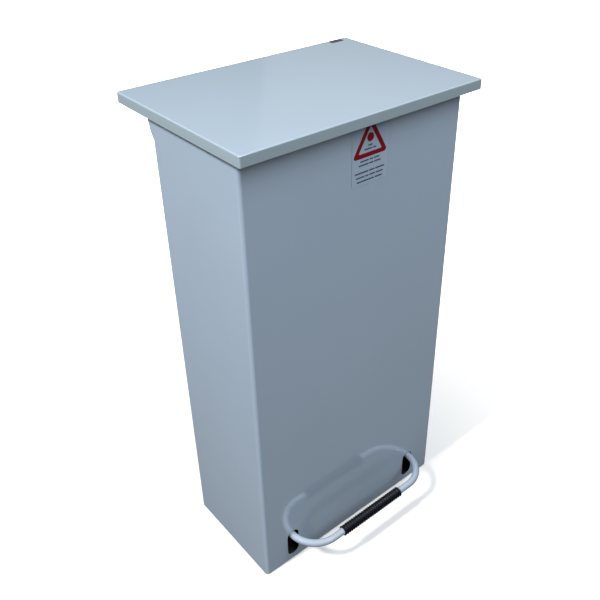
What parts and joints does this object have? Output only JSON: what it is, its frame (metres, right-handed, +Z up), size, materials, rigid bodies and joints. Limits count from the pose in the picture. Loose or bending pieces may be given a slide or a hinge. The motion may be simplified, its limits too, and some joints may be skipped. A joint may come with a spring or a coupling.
{
  "type": "oily waste can",
  "caption": "Pedal-operated floor-standing steel can for oily waste: tall folded casing, overhanging rear-hinged lid, bent-bar pedal with grip, lift-out liner.",
  "frame": {"origin": "on the floor, under the middle of the casing's footprint, which is 3 mm in front of the middle of the bounding box", "axes": "+X to the can's right side seen from the front, +Y to the back, +Z up"},
  "size_m": [0.436, 0.342, 0.8172],
  "materials": {
    "painted_casing": "gloss",
    "painted_pedal": "gloss",
    "black_primer": "matte",
    "galvanised": "satin",
    "zinc_plated": "satin",
    "black_rubber": "matte",
    "nylon": "satin",
    "label_film": "gloss",
    "dark_badge": "gloss"
  },
  "bodies": {
    "casing": {"body_shell": "painted_casing", "rear_panel": "painted_casing", "base_plate": "black_primer", "inner_floor": "galvanised", "floor_glide_front_left": "black_rubber", "floor_glide_front_right": "black_rubber", "floor_glide_rear_left": "black_rubber", "floor_glide_rear_right": "black_rubber", "pedal_bracket_left": "black_primer", "pedal_bracket_right": "black_primer", "pedal_bush_left": "nylon", "pedal_bush_right": "nylon", "rod_channel": "galvanised", "rod_guide_lower": "nylon", "rod_guide_upper": "nylon", "hinge_bracket_left": "zinc_plated", "hinge_bracket_right": "zinc_plated", "hinge_pin_left": "zinc_plated", "hinge_pin_right": "zinc_plated", "hinge_clip_left": "zinc_plated", "hinge_clip_right": "zinc_plated", "panel_rivet_left_1": "zinc_plated", "panel_rivet_left_2": "zinc_plated", "panel_rivet_left_3": "zinc_plated", "panel_rivet_right_1": "zinc_plated", "panel_rivet_right_2": "zinc_plated", "panel_rivet_right_3": "zinc_plated", "inner_liner": "galvanised", "handle_lug_left_front": "zinc_plated", "handle_lug_left_rear": "zinc_plated", "handle_lug_right_front": "zinc_plated", "handle_lug_right_rear": "zinc_plated", "front_label": "label_film"},
    "lid": {"lid_tray": "painted_casing", "lid_stiffener": "painted_casing", "lid_hinge_plate_left": "zinc_plated", "lid_hinge_plate_right": "zinc_plated", "lift_arm": "zinc_plated", "lid_link_pin": "zinc_plated", "lid_link_clip": "zinc_plated", "lid_buffer_left": "black_rubber", "lid_buffer_right": "black_rubber", "lid_badge": "dark_badge"},
    "pedal": {"pedal_bar": "painted_pedal", "pedal_grip": "black_rubber", "pedal_shaft": "zinc_plated", "pedal_hub_left": "painted_pedal", "pedal_hub_right": "painted_pedal", "shaft_clip_left": "zinc_plated", "shaft_clip_right": "zinc_plated", "pedal_lever": "zinc_plated", "pedal_link_pin": "zinc_plated", "pedal_link_clip": "zinc_plated"},
    "lift_rod": {"lift_rod": "zinc_plated", "upper_fork": "zinc_plated", "lower_fork": "zinc_plated"},
    "handle_left": {"liner_handle_left": "zinc_plated"},
    "handle_right": {"liner_handle_right": "zinc_plated"}
  },
  "joints": [
    {"name": "lid_hinge", "type": "hinge", "parent": "casing", "child": "lid", "pos_m": [0, 0.1075, 0.789], "axis": [-1, 0, 0], "range_deg": [0, 70]},
    {"name": "pedal_pivot", "type": "hinge", "parent": "casing", "child": "pedal", "pos_m": [0, -0.01, 0.0655], "axis": [1, 0, 0], "range_deg": [0, 20.01]},
    {"name": "rod_lift", "type": "slide", "parent": "casing", "child": "lift_rod", "axis": [0, 0, 1], "range_m": [0, 0.0322]},
    {"name": "handle_left_swing", "type": "hinge", "parent": "casing", "child": "handle_left", "pos_m": [-0.183, -0.016, 0.752], "axis": [0, -1, 0], "range_deg": [0, 150]},
    {"name": "handle_right_swing", "type": "hinge", "parent": "casing", "child": "handle_right", "pos_m": [0.183, -0.016, 0.752], "axis": [0, 1, 0], "range_deg": [0, 150]}
  ],
  "couplings": [
    {"joint": "pedal_pivot", "follows": "lid_hinge", "ratio": 0.28571},
    {"joint": "rod_lift", "follows": "lid_hinge", "m_per_rad": 0.026346}
  ]
}
